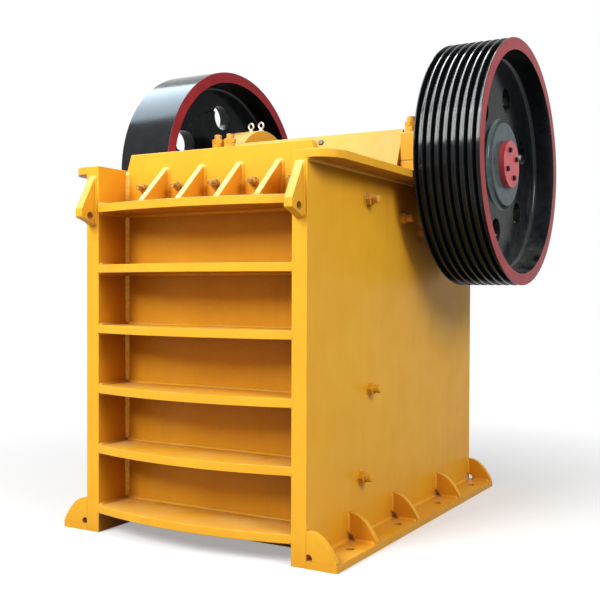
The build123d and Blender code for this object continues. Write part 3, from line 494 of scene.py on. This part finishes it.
def skin_rings(bm, rings, caps=True):
    """Joins closed rings of points with quads and closes both ends."""
    rows = [[bm.verts.new(point) for point in ring] for ring in rings]
    count = len(rows[0])
    for here, there in zip(rows, rows[1:]):
        for k in range(count):
            after = (k + 1) % count
            bm.faces.new((here[k], here[after], there[after], there[k]))
    if caps:
        bm.faces.new(list(reversed(rows[0])))
        bm.faces.new(rows[-1])


def square_to(axis):
    """An axis and two unit vectors square to it."""
    axis = Vector(axis).normalized()
    side = axis.orthogonal().normalized()
    return axis, side, axis.cross(side)


def ring_at(centre, side, up, radius, count):
    """A ring of points about a centre, in the plane of side and up."""
    ring = []
    for k in range(count):
        angle = 2 * math.pi * k / count
        ring.append(centre + (side * math.cos(angle) + up * math.sin(angle)) * radius)
    return ring


def lathe(bm, origin, axis, profile, segments):
    """Turns (along, radius) points about an axis."""
    axis, side, up = square_to(axis)
    origin = Vector(origin)
    skin_rings(bm, [
        ring_at(origin + axis * along, side, up, radius, segments) for along, radius in profile
    ])


# Weld beads. TAPER is what is left of a bead at its ends, RIPPLE the share of its size that
# comes and goes with the ripples, DEPTH how deep it sits in the plates.
WELD_STEP = 0.005
RIPPLE_PITCH = 0.015
FILLET_LEG = 0.011
CORNER_LEG = 0.013
LUG_LEG = 0.008
FILLET_TAPER = 0.25
FILLET_RIPPLE = 0.14
FILLET_BULGE = 0.26
FILLET_DEPTH = 0.0006
FILLET_POINTS = 6
SEAM_W = 0.016
SEAM_H = 0.0022
SEAM_TAPER = 0.3
SEAM_RIPPLE = 0.25
SEAM_DEPTH = 0.003
SEAM_POINTS = 5


def bead_steps(start, end, fade, thinnest):
    """The points along a weld, with their ripple from 0 to 1 and their taper near both ends."""
    length = (end - start).length
    count = max(int(length / WELD_STEP), 4)
    for step in range(count + 1):
        travelled = length * step / count
        ripple = abs(math.sin(math.pi * travelled / RIPPLE_PITCH))
        nearest = max(0.0, min(travelled, length - travelled))
        taper = thinnest + (1 - thinnest) * min(1.0, math.sqrt(nearest / fade))
        yield start.lerp(end, step / count), ripple, taper


def fillet_weld(bm, start, end, along_a, along_b, leg=FILLET_LEG):
    """A rippled fillet weld from start to end, in the corner between two surfaces."""
    side_a = Vector(along_a).normalized()
    side_b = Vector(along_b).normalized()
    rings = []
    for point, ripple, taper in bead_steps(Vector(start), Vector(end), leg, FILLET_TAPER):
        size = leg * (1 - FILLET_RIPPLE + FILLET_RIPPLE * ripple) * taper
        root = point - (side_a + side_b) * FILLET_DEPTH
        ring = [root]
        for k in range(FILLET_POINTS):
            angle = math.pi / 2 * k / (FILLET_POINTS - 1)
            flat = size / (math.cos(angle) + math.sin(angle))
            reach = flat * (1 + FILLET_BULGE * math.sin(2 * angle)) + FILLET_DEPTH
            ring.append(root + side_a * reach * math.cos(angle) + side_b * reach * math.sin(angle))
        rings.append(ring)
    skin_rings(bm, rings)


def butt_weld(bm, start, end, out, across):
    """A low rippled bead over a flush joint; out leaves the surface, across spans the joint."""
    out = Vector(out).normalized()
    across = Vector(across).normalized()
    rings = []
    for point, ripple, taper in bead_steps(Vector(start), Vector(end), SEAM_W, SEAM_TAPER):
        half = SEAM_W / 2 * taper
        rise = SEAM_H * (1 - SEAM_RIPPLE + SEAM_RIPPLE * ripple)
        ring = [point - out * SEAM_DEPTH - across * half]
        for k in range(SEAM_POINTS):
            angle = math.pi * k / (SEAM_POINTS - 1)
            ring.append(point - across * half * math.cos(angle) + out * rise * math.sin(angle))
        ring.append(point - out * SEAM_DEPTH + across * half)
        rings.append(ring)
    skin_rings(bm, rings)


# Directions of the welds, how far they end from an edge, and their crease angle in degrees
RIGHT = (1, 0, 0)
FORWARD, REARWARD = (0, -1, 0), (0, 1, 0)
DOWN, UP = (0, 0, -1), (0, 0, 1)
SHELF_END_GAP = 0.003
EDGE_GAP = 0.004
RIB_END_GAP = 0.005
FOOT_TIP_GAP = 0.006
FOOT_HOLE_GAP = 0.026
WELD_CREASE = 50

# Welds of the ribbed front: along the shelves, up the corners and over the flush joints
welds = bmesh.new()
corners = bmesh.new()
seams = bmesh.new()
shelf_boxes = [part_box(f"front_shelf_{number}") for number in range(1, SHELF_COUNT + 1)]
floors = [high.z for low, high in shelf_boxes]
ceilings = [low.z for low, high in shelf_boxes]
shelf_faces = [(z, UP) for z in floors] + [(z, DOWN) for z in ceilings]
for z, away in shelf_faces:
    fillet_weld(welds, (-inner_x, wall_y, z), (inner_x, wall_y, z), FORWARD, away)
for side in (-1, 1):
    x = side * inner_x
    inward = (-side, 0, 0)
    for z, away in shelf_faces:
        fillet_weld(welds, (x, front_y + SHELF_END_GAP, z), (x, wall_y, z), inward, away)
    for bottom, top in zip([wall_low.z] + floors, ceilings + [frame_h - EDGE_GAP]):
        fillet_weld(corners, (x, wall_y, bottom), (x, wall_y, top), inward, FORWARD, CORNER_LEG)
    for bottom, top in zip(ceilings, floors):
        butt_weld(seams, (x, front_y, bottom), (x, front_y, top), FORWARD, RIGHT)
add_piece(welds, "welds_front", "frame", yellow, WELD_CREASE)
add_piece(corners, "welds_corners", "frame", yellow_bead, WELD_CREASE)

# Welds of the gussets and the lifting lugs
welds = bmesh.new()
gusset_low, gusset_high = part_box("front_gussets")
gusset_pitch = (gusset_high.x - gusset_low.x - GUSSET_T) / (GUSSET_COUNT - 1)
foot_z = gusset_low.z
for number in range(GUSSET_COUNT):
    middle = gusset_low.x + GUSSET_T / 2 + number * gusset_pitch
    for side in (-1, 1):
        x = middle + side * GUSSET_T / 2
        away = (side, 0, 0)
        fillet_weld(welds, (x, gusset_low.y + EDGE_GAP, foot_z), (x, wall_y, foot_z), away, UP)
        fillet_weld(
            welds, (x, wall_y, foot_z), (x, wall_y, gusset_high.z - EDGE_GAP), away, FORWARD,
        )
lug_low, lug_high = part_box("lifting_lugs")
for side in (-1, 1):
    for face_x, turn in ((lug_high.x, side), (lug_high.x - LUG_T, -side)):
        x = side * face_x
        fillet_weld(
            welds, (x, front_y, lug_low.z + EDGE_GAP), (x, front_y, lug_high.z - EDGE_GAP),
            (turn, 0, 0), FORWARD, LUG_LEG,
        )
add_piece(welds, "welds_gussets", "frame", yellow, WELD_CREASE)

# Welds of the flanges and the feet; the outer faces of the end feet are flush with the frame
welds = bmesh.new()
foot_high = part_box("foot_gussets_right")[1]
base_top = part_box("base_flange_right")[1].z
flange_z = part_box("top_flange_right")[0].z
housing_low, housing_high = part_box("bearing_base_right")
foot_spans = [(front_y + start, front_y + start + FOOT_T) for start in FOOT_STARTS]
foot_faces = [face for low, high in foot_spans for face in ((low, FORWARD), (high, REARWARD))]
for side in (-1, 1):
    x = side * half_w
    outward = (side, 0, 0)
    for start, end in ((front_y, housing_low.y), (housing_high.y, rear_y)):
        fillet_weld(welds, (x, start, flange_z), (x, end, flange_z), outward, DOWN)
        butt_weld(seams, (x, start + EDGE_GAP, frame_h), (x, end - EDGE_GAP, frame_h), UP, RIGHT)
    butt_weld(seams, (x, front_y, flange_z), (x, front_y, frame_h), FORWARD, RIGHT)
    for y, away in foot_faces[1:-1]:
        fillet_weld(welds, (x, y, base_top + FOOT_HOLE_GAP), (x, y, foot_high.z), outward, away)
        fillet_weld(
            welds, (x + side * FOOT_HOLE_GAP, y, base_top),
            (side * (foot_high.x - FOOT_TIP_GAP), y, base_top), away, UP,
        )
    for (_, start), (end, _) in zip(foot_spans, foot_spans[1:]):
        fillet_weld(welds, (x, start, base_top), (x, end, base_top), outward, UP)
add_piece(welds, "welds_flanges", "frame", yellow, WELD_CREASE)
add_piece(seams, "welds_flush", "frame", yellow, WELD_CREASE)

# Welds of the rear wall and its ribs; the outer faces of the end ribs are flush with the wall
welds = bmesh.new()
back_low, back_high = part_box("rear_wall")
ribs_low, ribs_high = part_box("rear_ribs")
back_y = back_high.y
rib_t = floors[0] - ceilings[0]
rib_pitch = (ribs_high.z - ribs_low.z - rib_t) / (RIB_COUNT - 1)
for number in range(RIB_COUNT):
    rib_z = ribs_low.z + number * rib_pitch
    for z, away in ((rib_z, DOWN), (rib_z + rib_t, UP)):
        if not back_low.z + RIB_END_GAP <= z <= back_high.z - RIB_END_GAP:
            continue
        fillet_weld(welds, (-inner_x, back_y, z), (inner_x, back_y, z), REARWARD, away)
        for side in (-1, 1):
            x = side * inner_x
            fillet_weld(welds, (x, back_y, z), (x, rear_y - EDGE_GAP, z), (-side, 0, 0), away)
for side in (-1, 1):
    x = side * inner_x
    for number in range(RIB_COUNT - 1):
        bottom = ribs_low.z + number * rib_pitch + rib_t
        top = bottom + rib_pitch - rib_t
        fillet_weld(welds, (x, back_y, bottom), (x, back_y, top), (-side, 0, 0), REARWARD)
add_piece(welds, "welds_rear", "frame", yellow, WELD_CREASE)


# Washers, threads and locknuts of the visible bolts. A thread's depth is a share of its pitch,
# over its runout the crests shrink to THREAD_END of their height, and the stud's tip is a little
# longer and slimmer. A nut's chamfer is a share of its width across flats.
WASHER_SINK = 0.0005
WASHER_SEGMENTS = 40
THREAD_SEGMENTS = 24
THREAD_ROWS_PER_PITCH = 4
THREAD_DEPTH = 0.45
THREAD_CLEARANCE = 0.0003
THREAD_RUNOUT = 0.003
THREAD_END = 0.1
STUD_TIP = 0.0008
STUD_TIP_SCALE = 0.93
NUT_CHAMFER = 0.09
NUT_CHAMFER_SLOPE = 0.55
NUT_GAP = 0.0005
LOCKNUT_PROUD = 0.008
FASTENER_CREASE = 40
JAW_BOLT = {
    "washer_r": 0.0215, "washer_t": 0.0035, "stud_r": 0.010, "nut_h": 0.016, "pitch": 0.0025,
}
CHEEK_BOLT = {
    "washer_r": 0.0295, "washer_t": 0.0035, "stud_r": 0.015, "nut_h": 0.024, "pitch": 0.0035,
}
CAP_STUD = {
    "washer_r": 0.033, "washer_t": 0.005, "stud_r": 0.018, "nut_h": 0.030, "pitch": 0.0040,
    "locknut_h": 0.022,
}


def island_boxes(name):
    """The low and the high corner of each separate solid in a node, from its mesh islands."""
    bm = bmesh.new()
    bm.from_mesh(nodes[name].data)
    bmesh.ops.remove_doubles(bm, verts=bm.verts, dist=MERGE_DISTANCE)
    bm.verts.ensure_lookup_table()
    reached = set()
    boxes = []
    for start in bm.verts:
        if start.index in reached:
            continue
        reached.add(start.index)
        stack = [start]
        island = []
        while stack:
            vert = stack.pop()
            island.append(vert.co.copy())
            for link in vert.link_edges:
                other = link.other_vert(vert)
                if other.index not in reached:
                    reached.add(other.index)
                    stack.append(other)
        low = Vector([min(point[k] for point in island) for k in range(3)])
        high = Vector([max(point[k] for point in island) for k in range(3)])
        boxes.append((low, high))
    bm.free()
    return sorted(boxes, key=lambda pair: tuple(round(v, 4) for v in pair[0]))


def washer(bm, origin, axis, radius, thickness):
    """A flat washer with a rounded rim, closed where the nut covers its hole."""
    round_off = thickness * 0.3
    lathe(bm, origin, axis, [
        (-WASHER_SINK, radius), (thickness - round_off, radius),
        (thickness - round_off * 0.3, radius - round_off * 0.4),
        (thickness, radius - round_off), (thickness, radius * 0.4),
    ], WASHER_SEGMENTS)


def thread(bm, origin, axis, radius, length, pitch):
    """A screw thread round a stud, whose crests run out towards its end."""
    axis, side, up = square_to(axis)
    origin = Vector(origin)
    rows = int(length / pitch * THREAD_ROWS_PER_PITCH)
    depth = THREAD_DEPTH * pitch
    rings = []
    for row in range(rows + 1):
        along = length * row / rows
        ending = max(0.0, along - (length - THREAD_RUNOUT)) / THREAD_RUNOUT
        ring = []
        for k in range(THREAD_SEGMENTS):
            turn = k / THREAD_SEGMENTS
            crest = 1 - abs(2 * ((along / pitch - turn) % 1.0) - 1)
            height = depth * crest * (1 - (1 - THREAD_END) * ending)
            reach = radius + THREAD_CLEARANCE + height
            angle = 2 * math.pi * turn
            spoke = side * math.cos(angle) + up * math.sin(angle)
            ring.append(origin + axis * along + spoke * reach)
        rings.append(ring)
    stud_end = origin + axis * length
    tip = stud_end + axis * STUD_TIP
    rings.append([tip + (point - stud_end) * STUD_TIP_SCALE for point in rings[-1]])
    skin_rings(bm, rings)


def hexagon_nut(bm, foot, axis, across_flats, height):
    """A chamfered nut standing on foot."""
    corner = across_flats / math.sqrt(3)
    chamfer = NUT_CHAMFER * across_flats
    lathe(bm, foot, axis, [
        (0, corner), (height - chamfer * NUT_CHAMFER_SLOPE, corner), (height, corner - chamfer),
    ], 6)


def dress_bolts(
    name, axis, material, slot, washer_r, washer_t, stud_r, nut_h, pitch, locknut_h=0.0,
):
    """Adds a washer under each nut of a node and a thread round each stud's end.

    With locknut_h, a second nut of that height sits on the first, on a longer stud."""
    bm = bmesh.new()
    axis = Vector(axis)
    for low, high in island_boxes(name):
        middle = (low + high) / 2
        foot = low if sum(axis) > 0 else high
        seat = Vector([foot[k] if axis[k] else middle[k] for k in range(3)])
        washer(bm, seat, axis, washer_r, washer_t)
        end = abs((high - low).dot(axis))
        if locknut_h:
            hexagon_nut(bm, seat + axis * (nut_h + NUT_GAP), axis, CAP_NUT_AF, locknut_h)
            end += locknut_h + LOCKNUT_PROUD
        thread(bm, seat + axis * nut_h, axis, stud_r, end - nut_h, pitch)
    add_piece(bm, f"washers_{name}", "frame", material, FASTENER_CREASE)


dress_bolts("jaw_bolts", FORWARD, worn, "bare_steel", **JAW_BOLT)
for hand, sign in (("left", -1), ("right", 1)):
    dress_bolts(f"cheek_bolts_{hand}", (sign, 0, 0), yellow, "yellow_paint", **CHEEK_BOLT)
    dress_bolts(f"cap_studs_{hand}", UP, yellow, "yellow_paint", **CAP_STUD)

# Socket screws in the end covers: shank, head and socket as (along, radius) points
COVER_SCREW_SEGMENTS = 24
COVER_SCREW = [
    (-0.024, 0.0087), (0.0004, 0.0087), (0.0004, 0.0122), (0.0082, 0.0122),
    (0.0095, 0.0110), (0.0095, 0.0062), (0.0035, 0.0058), (0.0035, 0.0005),
]
for wheel, sign in (("pulley", 1), ("flywheel", -1)):
    bm = bmesh.new()
    for number in range(COVER_HOLE_COUNT):
        angle = COVER_HOLE_START + 2 * math.pi * number / COVER_HOLE_COUNT
        spot = (
            sign * cover_high.x, shaft_y + COVER_HOLE_PCR * math.cos(angle),
            shaft_z + COVER_HOLE_PCR * math.sin(angle),
        )
        lathe(bm, spot, (sign, 0, 0), COVER_SCREW, COVER_SCREW_SEGMENTS)
    add_piece(bm, f"{wheel}_cover_screws", "rotor", black_steel, FASTENER_CREASE)

# Eyebolts in the crowns of the bearing caps, two on each; the collar as (along, radius) points
EYE_X = (0.493, 0.558)
EYE_FROM_FRONT = 1.200
EYE_RING_R = 0.0155
EYE_WIRE_R = 0.0048
EYE_NECK_H = 0.0080
EYE_RING_SEGMENTS = 36
EYE_WIRE_SEGMENTS = 14
EYE_COLLAR_SEGMENTS = 28
EYE_COLLAR = [
    (-0.004, 0.0135), (0.0035, 0.0135), (0.0055, 0.0115), (0.0085, 0.0065), (0.0120, 0.0050),
]
dome_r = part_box("bearing_cap_right")[1].z - shaft_z
eye_y = front_y + EYE_FROM_FRONT
eye_z = shaft_z + math.sqrt(dome_r ** 2 - (eye_y - shaft_y) ** 2)
for hand, sign in (("left", -1), ("right", 1)):
    bm = bmesh.new()
    for eye_x in EYE_X:
        foot = Vector((sign * eye_x, eye_y, eye_z))
        lathe(bm, foot, UP, EYE_COLLAR, EYE_COLLAR_SEGMENTS)
        centre = foot + Vector(UP) * (EYE_NECK_H + EYE_RING_R + EYE_WIRE_R)
        rings = []
        for k in range(EYE_RING_SEGMENTS):
            angle = 2 * math.pi * k / EYE_RING_SEGMENTS
            spoke = Vector((math.cos(angle), 0, math.sin(angle)))
            rings.append(ring_at(
                centre + spoke * EYE_RING_R, spoke, Vector(REARWARD), EYE_WIRE_R,
                EYE_WIRE_SEGMENTS,
            ))
        rings.append(rings[0])
        skin_rings(bm, rings, caps=False)
    bmesh.ops.remove_doubles(bm, verts=bm.verts, dist=MERGE_DISTANCE)
    add_piece(bm, f"eyebolts_{hand}", "frame", zinc_steel, FASTENER_CREASE)

# Bolt near the middle of the guard plate's outer face; its head as (along, radius) points
GUARD_BOLT_X = 0.045
GUARD_BOLT_UP = 0.195
GUARD_FACE_RISE = 0.010
GUARD_WASHER_R = 0.021
GUARD_WASHER_T = 0.0035
GUARD_CREASE = 35
GUARD_HEAD = ((0.002, 0.0155), (0.0135, 0.0155), (0.0155, 0.0135))
guard_low, guard_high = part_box("guard_plate")
slope = Vector((0, guard_high.y - guard_low.y, guard_high.z - guard_low.z)).normalized()
outward = Vector((0, -slope.z, slope.y))
face_foot = Vector((GUARD_BOLT_X, guard_low.y, guard_low.z + GUARD_FACE_RISE))
bolt_spot = face_foot + slope * GUARD_BOLT_UP
bm = bmesh.new()
washer(bm, bolt_spot, outward, GUARD_WASHER_R, GUARD_WASHER_T)
side_axis = Vector(RIGHT)
skin_rings(bm, [
    ring_at(bolt_spot + outward * along, side_axis, outward.cross(side_axis), radius, 6)
    for along, radius in GUARD_HEAD
])
add_piece(bm, "guard_bolt", "frame", dark_steel, GUARD_CREASE)

# Floor: a pale ground that keeps the shadow and fades to white away from the machine
FLOOR_HALF = 40.0
FADE_NEAR, FADE_FAR = 1.1, 2.9
WHITE_NEAR, WHITE_FAR = 0.35, 1.0
FLOOR_BOUNCE, FLOOR_SEEN = (0.30, 0.30, 0.30), (0.95, 0.95, 0.95)
floor_mesh = bpy.data.meshes.new("floor")
floor_mesh.from_pydata([
    (-FLOOR_HALF, -FLOOR_HALF, 0), (FLOOR_HALF, -FLOOR_HALF, 0),
    (FLOOR_HALF, FLOOR_HALF, 0), (-FLOOR_HALF, FLOOR_HALF, 0),
], [], [(0, 1, 2, 3)])
floor = bpy.data.objects.new("floor", floor_mesh)
bpy.context.scene.collection.objects.link(floor)
floor_white, tree, coords = new_material("floor_white")
ground = node(
    tree, "ShaderNodeVectorMath", {0: coords, 1: (1, 1, 0)}, operation="MULTIPLY",
).outputs[0]
distance = node(tree, "ShaderNodeVectorMath", {0: ground}, operation="LENGTH").outputs["Value"]
in_view = seen_by(tree, "Is Camera Ray", "Is Glossy Ray")
shade = mix(tree, in_view, FLOOR_BOUNCE, FLOOR_SEEN)
matte = node(tree, "ShaderNodeBsdfDiffuse", {"Color": shade, "Roughness": 0.0}).outputs[0]
white = node(tree, "ShaderNodeEmission", {"Color": (1, 1, 1, 1), "Strength": 1.0}).outputs[0]
fade = ramp(tree, distance, FADE_NEAR, FADE_FAR, WHITE_NEAR, WHITE_FAR)
faded = product(tree, fade, in_view)
surface = node(tree, "ShaderNodeMixShader", {0: faded, 1: matte, 2: white}).outputs[0]
node(tree, "ShaderNodeOutputMaterial", {"Surface": surface})
floor_mesh.materials.append(floor_white)

# World: soft light for the object, plain white for what the camera and reflections see
GLOW_LEVEL, GLOW_ZENITH = (0.10, 0.10, 0.10), (0.52, 0.53, 0.54)
world = bpy.data.worlds.new("studio")
bpy.context.scene.world = world
world.use_nodes = True
tree = world.node_tree
tree.nodes.clear()
height = separate(tree, node(tree, "ShaderNodeTexCoord").outputs["Generated"])[2]
glow = mix(tree, ramp(tree, height, 0.0, 1.0), GLOW_LEVEL, GLOW_ZENITH)
ambient = node(tree, "ShaderNodeBackground", {"Color": glow, "Strength": 1.0}).outputs[0]
plain = node(tree, "ShaderNodeBackground", {"Color": (1, 1, 1, 1), "Strength": 1.0}).outputs[0]
in_view = seen_by(tree, "Is Camera Ray", "Is Glossy Ray", "Is Transmission Ray")
surface = node(tree, "ShaderNodeMixShader", {0: in_view, 1: ambient, 2: plain}).outputs[0]
node(tree, "ShaderNodeOutputWorld", {"Surface": surface})


def add_lamp(name, place, target, size, power, along=UP, colour=(1, 1, 1), card=False):
    """A soft lamp aimed at a point; size is its width and its length, which runs along.

    A card shows only in reflections, as a strip light over gloss paint does."""
    lamp = bpy.data.lights.new(name, "AREA")
    lamp.shape = "RECTANGLE"
    lamp.size, lamp.size_y = size
    lamp.energy = power
    lamp.color = colour
    obj = bpy.data.objects.new(name, lamp)
    back = (Vector(place) - Vector(target)).normalized()
    side = Vector(along).cross(back).normalized()
    facing = Matrix((side, back.cross(side), back)).transposed()
    obj.matrix_world = Matrix.Translation(place) @ facing.to_4x4()
    obj.visible_diffuse = not card
    bpy.context.scene.collection.objects.link(obj)


add_lamp("key", place=(-1.6, -5.9, 5.2), target=(0, 0, 0.9), size=(2.3, 3.6), power=545)
add_lamp("side", place=(6.0, -2.4, 4.3), target=(0.5, 0, 0.9), size=(2.6, 2.6), power=240)
add_lamp(
    "top", place=(-0.9, -1.2, 5.7), target=(-0.9, -1.2, 1.5), size=(0.7, 6.0), power=300,
    along=(0.1, 1, 0), card=True,
)
add_lamp(
    "back_left", place=(-4.1, 0.15, 5.65), target=(-0.83, -0.16, 1.87), size=(1.5, 3.7),
    power=150, along=(0, 0.979, -0.204), colour=(0.68, 0.86, 1.0), card=True,
)

# Camera, fitted to points of the photograph
CAMERA_PLACE = (2.2136, -3.5711, 1.0083)
FOCAL_PX = 878.4332
PHOTO_PX = 600
SHIFT_PX = (-70.0, 6.0)
SENSOR_MM = 36.0
YAW = math.radians(27.6085)
PITCH = math.radians(0.9313)
ROLL = math.radians(0.2766)
heading = Vector((-math.sin(YAW), math.cos(YAW), 0))
forward = heading * math.cos(PITCH) - Vector(UP) * math.sin(PITCH)
level = Vector((math.cos(YAW), math.sin(YAW), 0))
upright = level.cross(forward)
right = level * math.cos(ROLL) + upright * math.sin(ROLL)
up = upright * math.cos(ROLL) - level * math.sin(ROLL)
turn = Matrix((right, up, -forward)).transposed()
lens = bpy.data.cameras.new("camera")
lens.sensor_fit = "HORIZONTAL"
lens.sensor_width = SENSOR_MM
lens.lens = FOCAL_PX * SENSOR_MM / PHOTO_PX
lens.shift_x = SHIFT_PX[0] / PHOTO_PX
lens.shift_y = SHIFT_PX[1] / PHOTO_PX
camera = bpy.data.objects.new("camera", lens)
camera.matrix_world = Matrix.Translation(CAMERA_PLACE) @ turn.to_4x4()
bpy.context.scene.collection.objects.link(camera)
bpy.context.scene.camera = camera
bpy.context.scene.view_settings.view_transform = "Standard"
